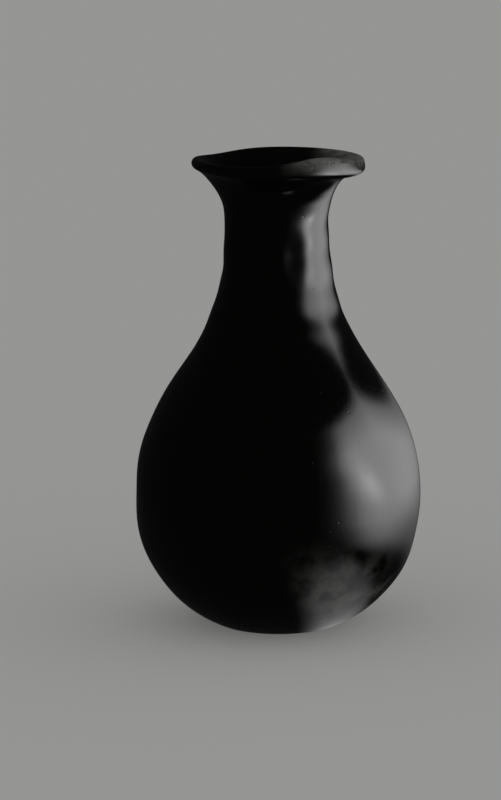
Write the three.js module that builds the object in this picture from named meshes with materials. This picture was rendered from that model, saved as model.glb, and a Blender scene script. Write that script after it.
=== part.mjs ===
// A free-blown vase of dark glass: pear-shaped body, wide neck and a flaring mouth with a rounded lip.
// Millimetres, +Z up. The origin is on the floor, under the middle of the body. The lip is heaviest at
// the front right, as it was left by the tool, and the neck stands a little out of line with the body.
import * as THREE from "three";

const { lerp, smoothstep, degToRad } = THREE.MathUtils;

// Overall sizes, the height without the lump on the lip. The neck is narrowest NECK_BELOW_RIM under that.
const HEIGHT = 128.9;
const BODY_DIAMETER = 78.2;
const BODY_WIDEST_HEIGHT = 34.6;
const BASE_DIAMETER = 33.9;
const NECK_DIAMETER = 28.2;
const NECK_BELOW_RIM = 18.5;
const RIM_DIAMETER = 47;

// Walls
const WALL_FLOOR = 3.2;
const WALL_BODY = 1.8;
const WALL_NECK = 2.3;

// The underside is pushed up in the middle, so the vase stands on a flat ring
const RING_WIDTH = 4.2;
const KICK_RISE = 1.6;

// Outline: how steeply the bowl leaves the floor, and how far each curve's tangents reach, as a share
// of the curve's own height
const BOWL_START_ANGLE = 22.7;
const BOWL_LOW_REACH = 0.52;
const BOWL_HIGH_REACH = 0.34;
const SHOULDER_REACH = 0.47;
const NECK_REACH = 0.55;

// Lip: thin, round and upturned on one side, thick, square-edged on top and turned flat out on the other.
// A squareness power of 1 is a round edge, and a smaller one a flatter face with tighter corners.
const LIP_HEAVY_AZIMUTH = -30;
const LIP_THICK = 4;
const LIP_THIN = 2.5;
const LIP_FLAT_ANGLE = 8;
const LIP_UPTURNED_ANGLE = 28;
const LIP_TOP_POWER = 0.45;
const LIP_UNDER_POWER = 0.7;

// The last of the hot glass gathered here on the lip and makes it taller
const LIP_LUMP = 2.2;
const LIP_LUMP_AZIMUTH = -58;
const LIP_LUMP_SPREAD = 22;

// How far the flare's tangents reach, on the heavy and on the thin side
const FLARE_NECK_REACH_HEAVY = 0.93;
const FLARE_NECK_REACH_THIN = 0.49;
const FLARE_LIP_REACH_HEAVY = 0.3;
const FLARE_LIP_REACH_THIN = 0.34;

// Small faults of the handwork. The shoulder is a little fuller on one side.
const RIM_TILT = 0.9;
const LIP_DIP = 0.9;
const LIP_DIP_AZIMUTH = 139;
const LIP_DIP_SPREAD = 18;
const NECK_LEAN = -0.5;
const SWELL = 0.5;
const SWELL_AZIMUTH = -25;
const SWELL_SPREAD = 45;
const SWELL_HEIGHT = 68;
const SWELL_REACH = 9;

// Facets
const AROUND = 56;
const RING_STEPS = { kick: 3, bowl: 10, ogee: 15, flare: 9, lip: 6, floor: 3 };
const FLOOR_EDGE_STEP = 2;

const bodyRadius = BODY_DIAMETER / 2;
const baseRadius = BASE_DIAMETER / 2;
const neckRadius = NECK_DIAMETER / 2;
const neckHeight = HEIGHT - NECK_BELOW_RIM;
const ringInnerRadius = baseRadius - RING_WIDTH;

// Glass is thickest in the floor, thinnest round the body and a little thicker again in the neck.
function wallAt(height) {
  const bowl = lerp(WALL_FLOOR, WALL_BODY, smoothstep(height, 0, BODY_WIDEST_HEIGHT));
  return lerp(bowl, WALL_NECK, smoothstep(height, BODY_WIDEST_HEIGHT, neckHeight));
}

// A stretch of the outline as points, each with the direction that the outline runs in there.
function stretch(curve, steps, first = 0) {
  return Array.from({ length: steps + 1 - first }, (_, i) => {
    const t = (i + first) / steps;
    return { at: curve.getPoint(t), along: curve.getTangent(t) };
  });
}

function bowlCurve() {
  const start = new THREE.Vector2(baseRadius, 0);
  const out = new THREE.Vector2(1, 0).rotateAround(new THREE.Vector2(), degToRad(BOWL_START_ANGLE));
  const end = new THREE.Vector2(bodyRadius, BODY_WIDEST_HEIGHT);
  return new THREE.CubicBezierCurve(
    start,
    start.clone().addScaledVector(out, BOWL_LOW_REACH * BODY_WIDEST_HEIGHT),
    new THREE.Vector2(bodyRadius, BODY_WIDEST_HEIGHT * (1 - BOWL_HIGH_REACH)),
    end,
  );
}

function ogeeCurve() {
  const rise = neckHeight - BODY_WIDEST_HEIGHT;
  return new THREE.CubicBezierCurve(
    new THREE.Vector2(bodyRadius, BODY_WIDEST_HEIGHT),
    new THREE.Vector2(bodyRadius, BODY_WIDEST_HEIGHT + SHOULDER_REACH * rise),
    new THREE.Vector2(neckRadius, neckHeight - NECK_REACH * rise),
    new THREE.Vector2(neckRadius, neckHeight),
  );
}

// 1 at one azimuth, given in degrees, and falling off smoothly to both sides of it.
function near(azimuth, centre, spread) {
  const off = azimuth - degToRad(centre);
  return Math.exp(-0.5 * (Math.atan2(Math.sin(off), Math.cos(off)) / degToRad(spread)) ** 2);
}

// The lip at an azimuth: its thickness, how far it is turned up, and the middle of its edge.
function lipAt(azimuth) {
  const heavy = 0.5 + 0.5 * Math.cos(azimuth - degToRad(LIP_HEAVY_AZIMUTH));
  const lump = LIP_LUMP * near(azimuth, LIP_LUMP_AZIMUTH, LIP_LUMP_SPREAD);
  const thickness = lerp(LIP_THIN, LIP_THICK, heavy) + lump;
  const angle = degToRad(lerp(LIP_UPTURNED_ANGLE, LIP_FLAT_ANGLE, heavy));
  const middle = new THREE.Vector2((RIM_DIAMETER - thickness) / 2, HEIGHT - (LIP_THICK - lump) / 2);
  return { heavy, thickness, angle, middle };
}

// From the neck's narrowest place out to where the lip's edge begins underneath.
function flareCurve(lip) {
  const outward = new THREE.Vector2(Math.cos(lip.angle), Math.sin(lip.angle));
  const down = new THREE.Vector2(outward.y, -outward.x);
  const end = lip.middle.clone().addScaledVector(down, lip.thickness / 2);
  const rise = end.y - neckHeight;
  const neckReach = lerp(FLARE_NECK_REACH_THIN, FLARE_NECK_REACH_HEAVY, lip.heavy) * rise;
  const lipReach = lerp(FLARE_LIP_REACH_THIN, FLARE_LIP_REACH_HEAVY, lip.heavy) * (end.x - neckRadius);
  return new THREE.CubicBezierCurve(
    new THREE.Vector2(neckRadius, neckHeight),
    new THREE.Vector2(neckRadius, neckHeight + neckReach),
    end.clone().addScaledVector(outward, -lipReach),
    end,
  );
}

// The point inside the wall's other face, square across the glass.
function acrossWall({ at, along }, thickness) {
  return new THREE.Vector2(at.x - along.y * thickness, at.y + along.x * thickness);
}

// The section of the glass at one azimuth, as [radius, height] points from the underside's middle,
// over the outside, round the lip and down the inside to the middle of the floor. The two middle
// points are left out here.
function sectionAt(azimuth) {
  const lip = lipAt(azimuth);
  const kick = Array.from({ length: RING_STEPS.kick }, (_, i) => {
    const share = (i + 1) / RING_STEPS.kick;
    return new THREE.Vector2(ringInnerRadius * share, KICK_RISE * (1 - share * share));
  });
  const bowl = stretch(bowlCurve(), RING_STEPS.bowl);
  const ogee = stretch(ogeeCurve(), RING_STEPS.ogee, 1);
  const flare = stretch(flareCurve(lip), RING_STEPS.flare, 1);

  const edge = Array.from({ length: RING_STEPS.lip - 1 }, (_, i) => {
    const turn = -Math.PI / 2 + (Math.PI * (i + 1)) / RING_STEPS.lip;
    const power = lerp(1, turn > 0 ? LIP_TOP_POWER : LIP_UNDER_POWER, lip.heavy);
    const out = Math.abs(Math.cos(turn)) ** power;
    const up = Math.sign(Math.sin(turn)) * Math.abs(Math.sin(turn)) ** power;
    const point = new THREE.Vector2(out, up).multiplyScalar(lip.thickness / 2);
    return point.rotateAround(new THREE.Vector2(), lip.angle).add(lip.middle);
  });

  const insideFlare = flare.map((place, i) => {
    const share = smoothstep((i + 1) / flare.length, 0.2, 1);
    return acrossWall(place, lerp(WALL_NECK, lip.thickness, share));
  });
  const insideOgee = ogee.map((place) => acrossWall(place, wallAt(place.at.y)));
  const insideBowl = bowl.slice(FLOOR_EDGE_STEP).map((place) => acrossWall(place, wallAt(place.at.y)));

  // The inside floor leaves the wall over this step of the bowl and runs level into the middle.
  const floorEdge = insideBowl[0];
  const floorSlope = bowl[FLOOR_EDGE_STEP].along;
  const floorMiddle = new THREE.Vector2(0, KICK_RISE + WALL_FLOOR);
  const floor = new THREE.CubicBezierCurve(
    floorEdge,
    floorEdge.clone().addScaledVector(floorSlope, -floorEdge.x / 3),
    new THREE.Vector2(floorEdge.x / 3, floorMiddle.y),
    floorMiddle,
  );
  const insideFloor = stretch(floor, RING_STEPS.floor, 1).slice(0, -1);

  return [
    ...kick,
    ...bowl.map((place) => place.at),
    ...ogee.map((place) => place.at),
    ...flare.map((place) => place.at),
    ...edge,
    ...insideFlare.reverse(),
    ...insideOgee.reverse(),
    ...insideBowl.reverse(),
    ...insideFloor.map((place) => place.at),
  ];
}

// Moves a point of the true round vase to where the handwork left it.
function asBlown(radius, height, azimuth) {
  const towardsRim = smoothstep(height, neckHeight, HEIGHT);
  const dip = LIP_DIP * near(azimuth, LIP_DIP_AZIMUTH, LIP_DIP_SPREAD);
  const tilt = radius * Math.cos(azimuth) * Math.tan(degToRad(RIM_TILT));
  const lean = NECK_LEAN * smoothstep(height, BODY_WIDEST_HEIGHT, neckHeight) * (1 - towardsRim);
  const swellAround = SWELL * near(azimuth, SWELL_AZIMUTH, SWELL_SPREAD);
  const swollen = radius + swellAround * Math.exp(-(((height - SWELL_HEIGHT) / SWELL_REACH) ** 2));
  return [
    swollen * Math.cos(azimuth) + lean,
    swollen * Math.sin(azimuth),
    height - towardsRim * (dip + tilt),
  ];
}

function vaseGeometry() {
  const vertices = [0, 0, KICK_RISE];
  let rings = 0;
  for (let i = 0; i < AROUND; i++) {
    const azimuth = (2 * Math.PI * i) / AROUND;
    const section = sectionAt(azimuth);
    rings = section.length;
    for (const point of section) vertices.push(...asBlown(point.x, point.y, azimuth));
  }
  vertices.push(0, 0, KICK_RISE + WALL_FLOOR);

  const at = (column, ring) => 1 + (column % AROUND) * rings + ring;
  const topMiddle = 1 + AROUND * rings;
  const faces = [];
  for (let i = 0; i < AROUND; i++) {
    faces.push(0, at(i + 1, 0), at(i, 0));
    for (let ring = 0; ring < rings - 1; ring++) {
      faces.push(at(i, ring), at(i + 1, ring), at(i + 1, ring + 1));
      faces.push(at(i, ring), at(i + 1, ring + 1), at(i, ring + 1));
    }
    faces.push(topMiddle, at(i, rings - 1), at(i + 1, rings - 1));
  }
  const geometry = new THREE.BufferGeometry();
  geometry.setAttribute("position", new THREE.Float32BufferAttribute(vertices, 3));
  geometry.setIndex(faces);
  geometry.computeVertexNormals();
  return geometry;
}

const darkGlass = new THREE.MeshStandardMaterial({ color: 0x11130d, roughness: 0.12, metalness: 0 });

const group = new THREE.Group();
const vase = new THREE.Mesh(vaseGeometry(), darkGlass);
vase.name = "vase";
group.add(vase);

export default group;
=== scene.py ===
import math

import bpy
import numpy as np
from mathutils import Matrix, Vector


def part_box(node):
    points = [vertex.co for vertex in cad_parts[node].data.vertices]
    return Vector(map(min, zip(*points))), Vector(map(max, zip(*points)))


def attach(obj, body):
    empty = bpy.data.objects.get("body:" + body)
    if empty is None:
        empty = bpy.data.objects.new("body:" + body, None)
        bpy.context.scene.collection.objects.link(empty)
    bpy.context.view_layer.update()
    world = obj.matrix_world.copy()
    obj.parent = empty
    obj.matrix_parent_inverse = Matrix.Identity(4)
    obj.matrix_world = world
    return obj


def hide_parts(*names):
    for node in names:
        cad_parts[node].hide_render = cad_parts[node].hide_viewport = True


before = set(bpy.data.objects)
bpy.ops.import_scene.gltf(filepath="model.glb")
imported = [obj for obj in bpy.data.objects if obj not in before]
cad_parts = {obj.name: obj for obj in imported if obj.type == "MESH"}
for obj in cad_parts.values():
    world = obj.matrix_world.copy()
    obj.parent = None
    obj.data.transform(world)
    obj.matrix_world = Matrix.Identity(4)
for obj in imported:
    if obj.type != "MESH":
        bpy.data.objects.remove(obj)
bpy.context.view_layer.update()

# The camera, at the photograph's place: in front, and high enough to look a little down into the mouth.
# The picture is 501 by 800. The vase's middle is this many pixels right of the picture's, and the point
# that the camera aims at is this many above it.
PICTURE_LONG_SIDE = 800
METRES_PER_PIXEL = 0.0002733
VASE_RIGHT_OF_MIDDLE = 27.8
AIM_ABOVE_MIDDLE = 8.44
CAMERA_DISTANCE = 1.2
CAMERA_ELEVATION = math.radians(11.335)
AIM_HEIGHT = 0.064
SENSOR = 36.0
NEAREST_SEEN = 0.05
FARTHEST_SEEN = 60

camera = bpy.data.objects.new("camera", bpy.data.cameras.new("camera"))
bpy.context.scene.collection.objects.link(camera)
bpy.context.scene.camera = camera
back = Vector((0, -math.cos(CAMERA_ELEVATION), math.sin(CAMERA_ELEVATION)))
camera.location = Vector((0, 0, AIM_HEIGHT)) + back * CAMERA_DISTANCE
camera.rotation_mode = "QUATERNION"
camera.rotation_quaternion = (-back).to_track_quat("-Z", "Y")
camera.data.sensor_width = SENSOR
camera.data.lens = SENSOR / PICTURE_LONG_SIDE * CAMERA_DISTANCE / METRES_PER_PIXEL
camera.data.shift_x = -VASE_RIGHT_OF_MIDDLE / PICTURE_LONG_SIDE
camera.data.shift_y = -AIM_ABOVE_MIDDLE / PICTURE_LONG_SIDE
camera.data.clip_start = NEAREST_SEEN
camera.data.clip_end = FARTHEST_SEEN

# The vase: one gather of near-black glass, blown and swung to a pear shape, its neck necked in with the
# jacks and its mouth opened hot. It was cracked off the iron, held on a pontil, and the lip was turned
# out and melted round in the fire, thickest at the front right. Nothing is joined on.
HEIGHT = 0.1289
BODY_WIDEST_HEIGHT = 0.0346
BASE_DIAMETER = 0.0339
NECK_DIAMETER = 0.0282
NECK_BELOW_RIM = 0.0185
RIM_DIAMETER = 0.047
WALL_FLOOR = 0.0032
WALL_BODY = 0.0018
WALL_NECK = 0.0023
RING_WIDTH = 0.0042
KICK_RISE = 0.0016
# Each reach is the length of a curve's handle, as a share of the curve's rise, or of its run at the lip.
BOWL_START_ANGLE = math.radians(22.7)
BOWL_LOW_REACH = 0.52
BOWL_HIGH_REACH = 0.34
SHOULDER_REACH = 0.47
NECK_REACH = 0.55
# The lip is heavy on one side and thin and turned up on the other. A power under 1 squares its roundness.
LIP_HEAVY_AZIMUTH = math.radians(-30)
LIP_THICK = 0.004
LIP_THIN = 0.0025
LIP_FLAT_ANGLE = math.radians(8)
LIP_UPTURNED_ANGLE = math.radians(28)
LIP_TOP_POWER = 0.45
LIP_UNDER_POWER = 0.7
LIP_LUMP = 0.0022
LIP_LUMP_AZIMUTH = math.radians(-58)
LIP_LUMP_SPREAD = math.radians(22)
LIP_DIP = 0.0009
LIP_DIP_AZIMUTH = math.radians(139)
LIP_DIP_SPREAD = math.radians(18)
RIM_TILT = math.radians(0.9)
FLARE_NECK_REACH_HEAVY = 0.93
FLARE_NECK_REACH_THIN = 0.49
FLARE_LIP_REACH_HEAVY = 0.3
FLARE_LIP_REACH_THIN = 0.34
FLARE_THICKENS_FROM = 0.2
# The neck leans a little, and the glass swells where it runs into the shoulder.
NECK_LEAN = -0.0005
SWELL = 0.0005
SWELL_AZIMUTH = math.radians(-25)
SWELL_SPREAD = math.radians(45)
SWELL_HEIGHT = 0.068
SWELL_REACH = 0.009
# How many points go round the axis and along each stretch of the outline. The inside has half as many as
# the outside, and its floor starts this many points up the bowl.
AROUND = 240
STEPS = {"kick": 18, "bowl": 44, "ogee": 72, "flare": 36, "lip": 20, "floor": 14}
FLOOR_EDGE_STEP = 8

_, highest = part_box("vase")
body_radius = highest.x
base_radius = BASE_DIAMETER / 2
neck_radius = NECK_DIAMETER / 2
neck_height = HEIGHT - NECK_BELOW_RIM
azimuth = np.arange(AROUND) * 2 * math.pi / AROUND


# From 0 at the start to 1 at the end, easing in and out. The start may be the higher of the two.
def smooth_share(value, start, end):
    share = np.clip((value - start) / (end - start), 0, 1)
    return share * share * (3 - 2 * share)


def blend(start, end, share):
    return start + (end - start) * share


# 1 at one azimuth, falling off smoothly to both sides of it.
def near(centre, spread):
    off = (azimuth - centre + math.pi) % (2 * math.pi) - math.pi
    return np.exp(-0.5 * (off / spread) ** 2)


# A radius and height pair for each azimuth, from numbers or from one value per azimuth.
def all_round(radius, height):
    ones = np.ones(AROUND)
    return np.stack([radius * ones, height * ones], -1)


# Points along one Bezier curve per azimuth, each with the unit direction of the curve there.
def curve_points(p0, p1, p2, p3, steps, first=0):
    t = (np.arange(first, steps + 1) / steps)[None, :, None]
    p0, p1, p2, p3 = (p[:, None, :] for p in (p0, p1, p2, p3))
    at = (1 - t) ** 3 * p0 + 3 * (1 - t) ** 2 * t * p1 + 3 * (1 - t) * t**2 * p2 + t**3 * p3
    along = (1 - t) ** 2 * (p1 - p0) + 2 * (1 - t) * t * (p2 - p1) + t**2 * (p3 - p2)
    return at, along / np.linalg.norm(along, axis=-1, keepdims=True)


def wall_at(height):
    bowl = blend(WALL_FLOOR, WALL_BODY, smooth_share(height, 0, BODY_WIDEST_HEIGHT))
    return blend(bowl, WALL_NECK, smooth_share(height, BODY_WIDEST_HEIGHT, neck_height))


# The other face of the wall, square across the glass.
def across_wall(at, along, thickness):
    inward = np.stack([-along[..., 1], along[..., 0]], -1)
    return at + inward * thickness[..., None]


# The outline of the glass at every azimuth, from the middle of the underside, over the outside, round
# the lip and down the inside to the middle of the floor.
def vase_outline():
    share = np.arange(1, STEPS["kick"] + 1) / STEPS["kick"]
    ring_inner = base_radius - RING_WIDTH
    kick = np.stack([ring_inner * share, KICK_RISE * (1 - share**2)], -1)
    kick = np.broadcast_to(kick, (AROUND,) + kick.shape)

    low_reach = BOWL_LOW_REACH * BODY_WIDEST_HEIGHT
    bowl, bowl_along = curve_points(
        all_round(base_radius, 0),
        all_round(
            base_radius + low_reach * math.cos(BOWL_START_ANGLE), low_reach * math.sin(BOWL_START_ANGLE)
        ),
        all_round(body_radius, BODY_WIDEST_HEIGHT * (1 - BOWL_HIGH_REACH)),
        all_round(body_radius, BODY_WIDEST_HEIGHT),
        STEPS["bowl"],
    )
    rise = neck_height - BODY_WIDEST_HEIGHT
    ogee, ogee_along = curve_points(
        all_round(body_radius, BODY_WIDEST_HEIGHT),
        all_round(body_radius, BODY_WIDEST_HEIGHT + SHOULDER_REACH * rise),
        all_round(neck_radius, neck_height - NECK_REACH * rise),
        all_round(neck_radius, neck_height),
        STEPS["ogee"],
        first=1,
    )

    heavy = 0.5 + 0.5 * np.cos(azimuth - LIP_HEAVY_AZIMUTH)
    lump = LIP_LUMP * near(LIP_LUMP_AZIMUTH, LIP_LUMP_SPREAD)
    thickness = blend(LIP_THIN, LIP_THICK, heavy) + lump
    angle = blend(LIP_UPTURNED_ANGLE, LIP_FLAT_ANGLE, heavy)
    middle = all_round((RIM_DIAMETER - thickness) / 2, HEIGHT - (LIP_THICK - lump) / 2)
    outward = np.stack([np.cos(angle), np.sin(angle)], -1)
    down = np.stack([outward[:, 1], -outward[:, 0]], -1)
    end = middle + down * thickness[:, None] / 2
    neck_reach = blend(FLARE_NECK_REACH_THIN, FLARE_NECK_REACH_HEAVY, heavy) * (end[:, 1] - neck_height)
    lip_reach = blend(FLARE_LIP_REACH_THIN, FLARE_LIP_REACH_HEAVY, heavy) * (end[:, 0] - neck_radius)
    flare, flare_along = curve_points(
        all_round(neck_radius, neck_height),
        all_round(neck_radius, neck_height + neck_reach),
        end - outward * lip_reach[:, None],
        end,
        STEPS["flare"],
        first=1,
    )
    turn = -math.pi / 2 + math.pi * np.arange(1, STEPS["lip"])[None] / STEPS["lip"]
    power = blend(1, np.where(turn > 0, LIP_TOP_POWER, LIP_UNDER_POWER), heavy[:, None])
    out = np.cos(turn) ** power * thickness[:, None] / 2
    up = np.sign(np.sin(turn)) * np.abs(np.sin(turn)) ** power * thickness[:, None] / 2
    lip = middle[:, None] + out[..., None] * outward[:, None] - up[..., None] * down[:, None]

    flare_share = smooth_share(np.arange(1, STEPS["flare"] + 1) / STEPS["flare"], FLARE_THICKENS_FROM, 1)
    flare_wall = blend(WALL_NECK, thickness[:, None], flare_share[None])
    inside_flare = across_wall(flare, flare_along, flare_wall)[:, ::-2]
    inside_ogee = across_wall(ogee, ogee_along, wall_at(ogee[..., 1]))[:, ::-2]
    inside_bowl = across_wall(bowl, bowl_along, wall_at(bowl[..., 1]))[:, FLOOR_EDGE_STEP:]
    floor_edge = inside_bowl[:, 0]
    floor_middle = KICK_RISE + WALL_FLOOR
    floor, _ = curve_points(
        floor_edge,
        floor_edge - bowl_along[:, FLOOR_EDGE_STEP] * floor_edge[:, :1] / 3,
        all_round(floor_edge[:, 0] / 3, floor_middle),
        all_round(0, floor_middle),
        STEPS["floor"],
        first=1,
    )
    return np.concatenate(
        [kick, bowl, ogee, flare, lip, inside_flare, inside_ogee, inside_bowl[:, ::-2], floor[:, :-1]], 1
    )


# The unevenness of hand-blown glass: long soft waves, the same on both faces of the wall. Every wave
# closes on itself round the vase. The more lobes it has round the vase, the lower it is.
WAVES = 16
WAVE_HEIGHT = 0.00016
WAVE_SEED = 11
WAVE_LOBES = (1, 7)
WAVE_RADIANS_PER_METRE = (40, 330)
WAVE_LOWER_PER_LOBE = 0.25
# The heights over which the waves begin and end, and the distance from the axis over which they begin.
WAVES_BEGIN = (0.002, 0.016)
WAVES_END = (0.119, 0.124)
WAVES_BEGIN_OUT = (0.004, 0.012)
# The jacks left faint rings round the neck, and pressed a flat place on the front of it.
TOOL_RING_SPACING = 0.0088
TOOL_RING_DEPTH = 0.00007
TOOL_RINGS_BEGIN = (0.075, 0.092)
TOOL_RINGS_END = (0.114, 0.12)
PRESS_AZIMUTH = math.radians(-72)
PRESS_SPREAD = math.radians(11)
PRESS_HEIGHT = 0.103
PRESS_REACH = 0.0075
PRESS_DEPTH = 0.0008


def hand_waves(height):
    draw = np.random.default_rng(WAVE_SEED)
    waves = np.zeros(height.shape)
    for _ in range(WAVES):
        lobes = draw.integers(*WAVE_LOBES)
        per_metre = draw.uniform(*WAVE_RADIANS_PER_METRE)
        start = draw.uniform(0, 2 * math.pi)
        wave = np.cos(lobes * azimuth[:, None] + per_metre * height + start)
        waves += wave / (1 + WAVE_LOWER_PER_LOBE * lobes)
    # A sum of waves grows with the root of their number.
    waves *= 2 * WAVE_HEIGHT / math.sqrt(WAVES)
    on_neck = smooth_share(height, *TOOL_RINGS_BEGIN) * (1 - smooth_share(height, *TOOL_RINGS_END))
    spiral = 2 * math.pi * height / TOOL_RING_SPACING + azimuth[:, None]
    rings = TOOL_RING_DEPTH * on_neck * np.sin(spiral)
    clear_of_foot = smooth_share(height, *WAVES_BEGIN)
    clear_of_lip = 1 - smooth_share(height, *WAVES_END)
    press = PRESS_DEPTH * near(PRESS_AZIMUTH, PRESS_SPREAD)[:, None]
    press = press * np.exp(-(((height - PRESS_HEIGHT) / PRESS_REACH) ** 2))
    return (waves + rings) * clear_of_foot * clear_of_lip - press


# Where the glass was broken off the pontil: a low rough ring under the foot. Each of its waves has a
# number of lobes, a depth, a place where it starts and a twist per metre outwards.
SCAR_RADIUS = 0.0062
SCAR_WIDTH = 0.0016
SCAR_HEIGHT = 0.0005
SCAR_LEVEL = 0.6
SCAR_WAVES = ((3, 0.25, 0, 900), (11, 0.2, 1.3, 0), (23, 0.15, 0, 0))


def pontil_scar(radius, height):
    underside = (height < KICK_RISE + WALL_FLOOR / 2) & (radius < base_radius - RING_WIDTH)
    ring = np.exp(-(((radius - SCAR_RADIUS) / SCAR_WIDTH) ** 2))
    broken = SCAR_LEVEL + sum(
        depth * np.sin(lobes * azimuth[:, None] + start + twist * radius)
        for lobes, depth, start, twist in SCAR_WAVES
    )
    return -SCAR_HEIGHT * ring * np.clip(broken, 0, 1) * underside


def vase_mesh():
    outline = vase_outline()
    radius, height = outline[..., 0], outline[..., 1]
    a = azimuth[:, None]
    height = height + pontil_scar(radius, height)
    towards_rim = smooth_share(height, neck_height, HEIGHT)
    dip = LIP_DIP * near(LIP_DIP_AZIMUTH, LIP_DIP_SPREAD)[:, None]
    tilt = radius * np.cos(a) * math.tan(RIM_TILT)
    lean = NECK_LEAN * smooth_share(height, BODY_WIDEST_HEIGHT, neck_height) * (1 - towards_rim)
    swell = SWELL * near(SWELL_AZIMUTH, SWELL_SPREAD)[:, None]
    swell = swell * np.exp(-(((height - SWELL_HEIGHT) / SWELL_REACH) ** 2))
    waved = radius + swell + hand_waves(height) * smooth_share(radius, *WAVES_BEGIN_OUT)
    grid = np.stack(
        [waved * np.cos(a) + lean, waved * np.sin(a), height - towards_rim * (dip + tilt)], -1
    )

    rings = grid.shape[1]
    verts = np.vstack([[[0, 0, KICK_RISE]], grid.reshape(-1, 3), [[0, 0, KICK_RISE + WALL_FLOOR]]])
    last = len(verts) - 1
    faces = []
    for i in range(AROUND):
        j = (i + 1) % AROUND
        left, right = 1 + i * rings, 1 + j * rings
        faces.append((0, right, left))
        faces += [(left + k, right + k, right + k + 1, left + k + 1) for k in range(rings - 1)]
        faces.append((last, left + rings - 1, right + rings - 1))
    mesh = bpy.data.meshes.new("vase_glass")
    mesh.from_pydata(verts.tolist(), [], faces)
    mesh.shade_smooth()
    mesh.update()
    return mesh


# Node helpers: add places a node with its sockets and properties set, and joins what it is given. The
# others give the output that the next node takes.
def add(tree, kind, inputs=None, **properties):
    node = tree.nodes.new(kind)
    for name, value in properties.items():
        setattr(node, name, value)
    for name, value in (inputs or {}).items():
        if isinstance(value, bpy.types.NodeSocket):
            tree.links.new(value, node.inputs[name])
        else:
            node.inputs[name].default_value = value
    return node


def masked(tree, value, low, high, to_low=0.0, to_high=1.0):
    inputs = {"Value": value, "From Min": low, "From Max": high, "To Min": to_low, "To Max": to_high}
    return add(tree, "ShaderNodeMapRange", inputs, interpolation_type="SMOOTHSTEP").outputs["Result"]


def combined(tree, kind, first, second):
    return add(tree, "ShaderNodeMath", {0: first, 1: second}, operation=kind).outputs[0]


def product(tree, value, *factors):
    for factor in factors:
        value = combined(tree, "MULTIPLY", value, factor)
    return value


def scaled(tree, place, scales):
    return add(tree, "ShaderNodeVectorMath", {0: place, 1: scales}, operation="MULTIPLY").outputs[0]


def distance_along(tree, place, direction):
    inputs = {0: place, 1: direction}
    return add(tree, "ShaderNodeVectorMath", inputs, operation="DOT_PRODUCT").outputs["Value"]


def noise(tree, place, scale, detail, roughness):
    inputs = {"Vector": place, "Scale": scale, "Detail": detail, "Roughness": roughness}
    return add(tree, "ShaderNodeTexNoise", inputs).outputs["Fac"]


BLACK_GLASS = (0.0022, 0.0025, 0.0018, 1)
# Painted light: this grey, laid on the black glass, is a painted reflection of the lit table low on the
# right and painted light on top of the heavy lip.
PAINTED_LIGHT_GREY = (0.24, 0.246, 0.229, 1)
GLASS_ROUGHNESS = 0.1
FILM_ROUGHNESS = 0.45
GLASS_IOR = 1.52
MM_PER_METRE = 1000
# Each noise has its scale per millimetre, its detail and its roughness. The cords are drawn out upwards.
CLOUDS = (0.17, 2.0, 0.5)
GRAIN = (0.9, 4.0, 0.6)
CORDS = (1.0, 2.0, 0.5)
CORDS_DRAWN_OUT = (0.34, 0.34, 0.035)
# The rough grey film low on the vase. Its grey is a painted reflection of the lit table on the right
# front. A side or front is a direction seen from above. Each pair of millimetres says where the film
# begins and where it is full, by height or along such a direction, and a pair of patches does so for the
# clouds.
LOW_PAINTED_REFLECTION_SHARE = 0.4
LOW_PAINTED_REFLECTION_TOP = (33, 12)
LOW_PAINTED_REFLECTION_FOOT = (18, 12)
LOW_PAINTED_REFLECTION_SIDE = (0.9, -0.44, 0)
LOW_PAINTED_REFLECTION_SIDE_EDGE = (16, 27)
LOW_PAINTED_REFLECTION_FRONT = (0.3, -0.95, 0)
LOW_PAINTED_REFLECTION_FRONT_EDGE = (26, 34)
LOW_PAINTED_REFLECTION_PATCHES = (0.36, 0.64)
# The rough grey film on the lip, in the same way. Its grey is painted light on top of the heavy lip at
# the right. It is full where the glass faces up, as if lit from above.
LIP_PAINTED_LIGHT_BOTTOM = (116, 122)
LIP_PAINTED_LIGHT_SIDE = (0.98, -0.2, 0)
LIP_PAINTED_LIGHT_SIDE_EDGE = (4, 15)
LIP_PAINTED_LIGHT_FACING_UP = (-0.2, 0.5)
LIP_PAINTED_LIGHT_PATCHES = (0.3, 0.6, 0.5, 1)
HAZE_AND_PAINTED_LIGHT_GRAIN = (0.25, 0.6, 0.6, 1)
ROUGHNESS_GRAIN = (0.35, 0.7, -0.015, 0.03)
# Pits are small round cells, of which only a few are pitted.
PIT_SCALE = 0.42
PIT_EDGE = (0.16, 0.06)
PIT_CHOSEN = (0.8, 0.88)
CORD_RELIEF = 0.5
FILM_RELIEF = 0.5
RELIEF_STRENGTH = 0.6
RELIEF_DEPTH = 0.00006


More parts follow.
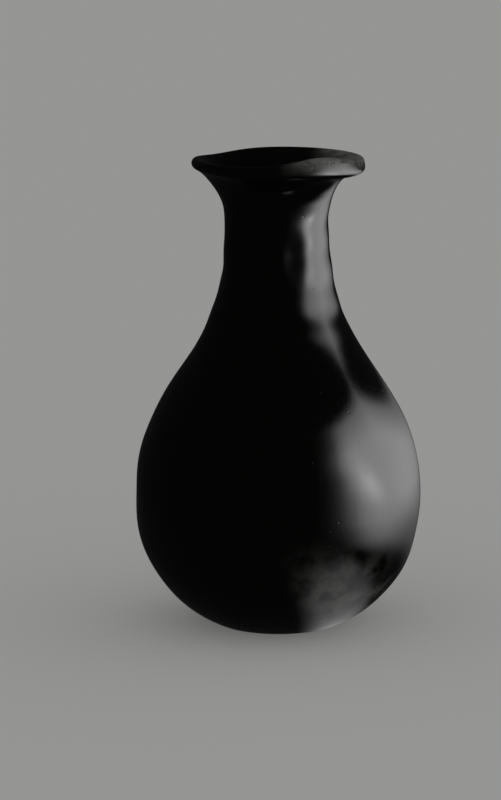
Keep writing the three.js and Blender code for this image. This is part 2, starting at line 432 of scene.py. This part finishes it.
# Where the grey film goes: a painted reflection low on the right front and painted light on top of the
# heavy lip. The same share roughens the glass and raises its relief.
def haze_and_painted_light_share(tree, mm, grain):
    height = add(tree, "ShaderNodeSeparateXYZ", {0: mm}).outputs["Z"]
    facing = add(tree, "ShaderNodeNewGeometry").outputs["Normal"]
    facing_up = add(tree, "ShaderNodeSeparateXYZ", {0: facing}).outputs["Z"]
    clouds = noise(tree, mm, *CLOUDS)
    low_side = distance_along(tree, mm, LOW_PAINTED_REFLECTION_SIDE)
    low_front = distance_along(tree, mm, LOW_PAINTED_REFLECTION_FRONT)
    lip_side = distance_along(tree, mm, LIP_PAINTED_LIGHT_SIDE)
    # Painted reflection of the lit table, low on the right front.
    low_painted_reflection = product(
        tree,
        masked(tree, height, *LOW_PAINTED_REFLECTION_TOP),
        masked(tree, low_side, *LOW_PAINTED_REFLECTION_SIDE_EDGE),
        combined(
            tree,
            "MAXIMUM",
            masked(tree, low_front, *LOW_PAINTED_REFLECTION_FRONT_EDGE),
            masked(tree, height, *LOW_PAINTED_REFLECTION_FOOT),
        ),
        masked(tree, clouds, *LOW_PAINTED_REFLECTION_PATCHES),
        LOW_PAINTED_REFLECTION_SHARE,
    )
    # Painted light on the up-facing top of the heavy lip, on the right.
    lip_painted_light = product(
        tree,
        masked(tree, height, *LIP_PAINTED_LIGHT_BOTTOM),
        masked(tree, lip_side, *LIP_PAINTED_LIGHT_SIDE_EDGE),
        masked(tree, facing_up, *LIP_PAINTED_LIGHT_FACING_UP),
        masked(tree, clouds, *LIP_PAINTED_LIGHT_PATCHES),
    )
    haze_and_painted_light = combined(tree, "MAXIMUM", low_painted_reflection, lip_painted_light)
    return product(tree, haze_and_painted_light, masked(tree, grain, *HAZE_AND_PAINTED_LIGHT_GRAIN))


def surface_relief(tree, mm, grain, haze_and_painted_light):
    cords = noise(tree, scaled(tree, mm, CORDS_DRAWN_OUT), *CORDS)
    cell = add(tree, "ShaderNodeTexVoronoi", {"Vector": mm, "Scale": PIT_SCALE})
    chosen = add(tree, "ShaderNodeSeparateColor", {0: cell.outputs["Color"]}).outputs["Red"]
    near_middle = masked(tree, cell.outputs["Distance"], *PIT_EDGE)
    pits = product(tree, near_middle, masked(tree, chosen, *PIT_CHOSEN))
    relief = combined(tree, "SUBTRACT", product(tree, cords, CORD_RELIEF), pits)
    return combined(tree, "ADD", relief, product(tree, grain, haze_and_painted_light, FILM_RELIEF))


# Near-black glass with a fire-polished gloss and fine pits. A rough grey film lies low on the right front
# and on top of the heavy lip. Its grey is a painted reflection of the lit table low down and painted
# light on the lip.
# The drawn glass keeps faint cords up its length.
def glass_material():
    material = bpy.data.materials.new("dark_glass")
    material.use_nodes = True
    tree = material.node_tree
    shader = tree.nodes["Principled BSDF"]
    place = add(tree, "ShaderNodeTexCoord").outputs["Object"]
    mm = scaled(tree, place, (MM_PER_METRE,) * 3)
    grain = noise(tree, mm, *GRAIN)
    haze_and_painted_light = haze_and_painted_light_share(tree, mm, grain)

    # The grey mixed in here is painted light and a painted reflection.
    inputs = {"Factor": haze_and_painted_light, 6: BLACK_GLASS, 7: PAINTED_LIGHT_GREY}
    colour = add(tree, "ShaderNodeMix", inputs, data_type="RGBA").outputs[2]
    tree.links.new(colour, shader.inputs["Base Color"])
    rough = masked(tree, haze_and_painted_light, 0, 1, GLASS_ROUGHNESS, FILM_ROUGHNESS)
    rough = combined(tree, "ADD", rough, masked(tree, grain, *ROUGHNESS_GRAIN))
    tree.links.new(rough, shader.inputs["Roughness"])
    shader.inputs["IOR"].default_value = GLASS_IOR
    inputs = {
        "Height": surface_relief(tree, mm, grain, haze_and_painted_light),
        "Strength": RELIEF_STRENGTH,
        "Distance": RELIEF_DEPTH,
    }
    bump = add(tree, "ShaderNodeBump", inputs)
    tree.links.new(bump.outputs["Normal"], shader.inputs["Normal"])
    return material


vase = bpy.data.objects.new("vase_glass", vase_mesh())
vase.data.materials.append(glass_material())
bpy.context.scene.collection.objects.link(vase)
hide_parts("vase")
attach(vase, "root")

# The floor: a plain, pale and matt table top that is lit a little from below, as a light table is, so
# the shadow under the bowl stays faint. It is wide enough to fill the picture, and is kept out of the
# glass's reflections.
FLOOR_RADIUS = 9
FLOOR_CORNERS = 96
FLOOR_COLOUR = (0.62, 0.625, 0.61, 1)
FLOOR_ROUGHNESS = 0.9
FLOOR_GLOW = 0.2


def floor_material():
    material = bpy.data.materials.new("floor")
    material.use_nodes = True
    shader = material.node_tree.nodes["Principled BSDF"]
    shader.inputs["Base Color"].default_value = FLOOR_COLOUR
    shader.inputs["Roughness"].default_value = FLOOR_ROUGHNESS
    shader.inputs["Specular IOR Level"].default_value = 0
    shader.inputs["Emission Color"].default_value = FLOOR_COLOUR
    shader.inputs["Emission Strength"].default_value = FLOOR_GLOW
    return material


bpy.ops.mesh.primitive_circle_add(vertices=FLOOR_CORNERS, radius=FLOOR_RADIUS, fill_type="NGON")
floor = bpy.context.object
floor.name = "floor"
floor.data.materials.append(floor_material())
floor.visible_glossy = False

# Soft light from overhead, which gives the floor its even tone and the vase a soft shadow.
SKY_STRENGTH = 0.9
SKY_SOFTNESS = math.radians(140)
SKY_TILT = (math.radians(10), math.radians(12), 0)

sky = bpy.data.objects.new("overhead", bpy.data.lights.new("overhead", "SUN"))
sky.data.energy = SKY_STRENGTH
sky.data.angle = SKY_SOFTNESS
sky.rotation_euler = SKY_TILT
sky.visible_glossy = False
bpy.context.scene.collection.objects.link(sky)

# A curved diffusing screen stands on the right, leans in over the vase and hangs down past the table.
# Its light is seen only in the glass.
# Turns are in degrees from the camera's side towards the right, and lengths in metres.
ROOM_TONE = 0.012
SCREEN_TURNS = (30, 178)
SCREEN_HEIGHTS = (-0.3, 0.18)
SCREEN_COLUMNS = 149
SCREEN_ROWS = 201
SCREEN_RADIUS = 0.28
SCREEN_LEAN = 0.868
SCREEN_STRENGTH = 4.15
# The left edge bulges outwards at one height. Below another it runs in to the right and grows softer.
SCREEN_LEFT = 55.5
SCREEN_LEFT_SOFT = 4.2
SCREEN_BULGE = 5
SCREEN_BULGE_HEIGHT = 0.095
SCREEN_BULGE_SPREAD = 0.03
SCREEN_LOW_PART = (-0.055, 0.045)
SCREEN_LOW_SLANT = 170
SCREEN_LOW_SOFTENING = 35
# The right edge runs in below the table, and the far end fades out.
SCREEN_RIGHT = 121
SCREEN_RIGHT_SOFT = 16
SCREEN_RIGHT_LOW_SLANT = 170
SCREEN_END_FADE = (150, 178)
# The bottom is soft. The top drops towards the far end, and the light is weaker along it.
SCREEN_BOTTOM = -0.09
SCREEN_BOTTOM_SOFT = 0.036
SCREEN_TOP = 0.1635
SCREEN_TOP_TURN = 95
SCREEN_TOP_DROP = 0.0015
SCREEN_TOP_EDGE = 0.018
SCREEN_TOP_FADE = 0.06
SCREEN_TOP_SHARE = 0.4
# A brighter streak slants across the screen.
STREAK_STRENGTH = 2.5
STREAK_TURN = 74
STREAK_HEIGHT = 0.046
STREAK_LEAN = -165
STREAK_WIDTH = 9
STREAK_LENGTH = 0.042


# A sheet of light from a grid of points, with its own strength at each.
def glow_panel(name, points, strengths):
    columns, rows = strengths.shape
    faces = [
        (i * rows + k, (i + 1) * rows + k, (i + 1) * rows + k + 1, i * rows + k + 1)
        for i in range(columns - 1)
        for k in range(rows - 1)
    ]
    mesh = bpy.data.meshes.new(name)
    mesh.from_pydata(points.reshape(-1, 3).tolist(), [], faces)
    glow = mesh.attributes.new("glow", "FLOAT", "POINT")
    glow.data.foreach_set("value", strengths.ravel().astype(np.float32))
    material = bpy.data.materials.new(name)
    material.use_nodes = True
    tree = material.node_tree
    tree.nodes.clear()
    strength = add(tree, "ShaderNodeAttribute", attribute_name="glow").outputs["Fac"]
    emission = add(tree, "ShaderNodeEmission", {"Strength": strength})
    output = add(tree, "ShaderNodeOutputMaterial")
    tree.links.new(emission.outputs[0], output.inputs["Surface"])
    mesh.materials.append(material)
    panel = bpy.data.objects.new(name, mesh)
    panel.visible_camera = False
    panel.visible_shadow = False
    panel.visible_diffuse = False
    bpy.context.scene.collection.objects.link(panel)


# From 0 to 1 across an edge, without a definite start or end.
def soft_step(value, edge, softness):
    return 1 / (1 + np.exp(-(value - edge) / softness))


turns, heights = np.meshgrid(
    np.linspace(*SCREEN_TURNS, SCREEN_COLUMNS), np.linspace(*SCREEN_HEIGHTS, SCREEN_ROWS), indexing="ij"
)
below = SCREEN_LOW_PART[1] - np.clip(heights, *SCREEN_LOW_PART)
up_bulge = (heights - SCREEN_BULGE_HEIGHT) / SCREEN_BULGE_SPREAD
left_edge = SCREEN_LEFT + SCREEN_LOW_SLANT * below - SCREEN_BULGE * np.exp(-(up_bulge**2))
left_soft = SCREEN_LEFT_SOFT + SCREEN_LOW_SOFTENING * below
right_edge = SCREEN_RIGHT - SCREEN_RIGHT_LOW_SLANT * np.maximum(-heights, 0)
top_edge = SCREEN_TOP - SCREEN_TOP_DROP * np.maximum(turns - SCREEN_TOP_TURN, 0)
lit = soft_step(turns, left_edge, left_soft) * soft_step(-turns, -right_edge, SCREEN_RIGHT_SOFT)
lit *= 1 - smooth_share(turns, *SCREEN_END_FADE)
lit *= soft_step(heights, SCREEN_BOTTOM, SCREEN_BOTTOM_SOFT)
lit *= smooth_share(top_edge - heights, 0, SCREEN_TOP_EDGE)
lit *= blend(SCREEN_TOP_SHARE, 1, smooth_share(top_edge - heights, 0, SCREEN_TOP_FADE))
up_streak = heights - STREAK_HEIGHT
off_streak = turns - STREAK_TURN - STREAK_LEAN * up_streak
streak = np.exp(-((off_streak / STREAK_WIDTH) ** 2) - (up_streak / STREAK_LENGTH) ** 2)
screen_radius = SCREEN_RADIUS - SCREEN_LEAN * heights
screen_x, screen_y = screen_radius * np.sin(np.radians(turns)), -screen_radius * np.cos(np.radians(turns))
glow_panel(
    "screen",
    np.stack([screen_x, screen_y, heights], -1),
    ROOM_TONE + SCREEN_STRENGTH * lit + STREAK_STRENGTH * streak,
)

# A pale sheet lies on the table close to the foot, an oval that fades at its edge and towards the vase's
# middle. It too is seen only in the glass.
SHEET_STRENGTH = 0.54
SHEET_POINTS = 71
SHEET_TURN = math.radians(42)
SHEET_REACH = 0.038
SHEET_LENGTH = 0.032
SHEET_WIDTH = 0.018
SHEET_FADE = (0.3, 1.4)
SHEET_INNER_EDGE = (0.005, 0.015)
SHEET_ABOVE_TABLE = 0.0001

span = np.linspace(-SHEET_FADE[1], SHEET_FADE[1], SHEET_POINTS)
along, side = np.meshgrid(span, span, indexing="ij")
out, over = SHEET_REACH + SHEET_LENGTH * along, SHEET_WIDTH * side
sheet_x = out * math.sin(SHEET_TURN) + over * math.cos(SHEET_TURN)
sheet_y = over * math.sin(SHEET_TURN) - out * math.cos(SHEET_TURN)
sheet = (1 - smooth_share(np.hypot(along, side), *SHEET_FADE)) * smooth_share(sheet_x, *SHEET_INNER_EDGE)
glow_panel(
    "sheet",
    np.stack([sheet_x, sheet_y, np.full(sheet_x.shape, SHEET_ABOVE_TABLE)], -1),
    ROOM_TONE + SHEET_STRENGTH * sheet,
)

# The room is dim, so the left side of the glass stays black.
world = bpy.data.worlds.new("room")
bpy.context.scene.world = world
world.use_nodes = True
world.node_tree.nodes["Background"].inputs["Color"].default_value = (ROOM_TONE, ROOM_TONE, ROOM_TONE, 1)
bpy.context.scene.view_settings.view_transform = "Standard"
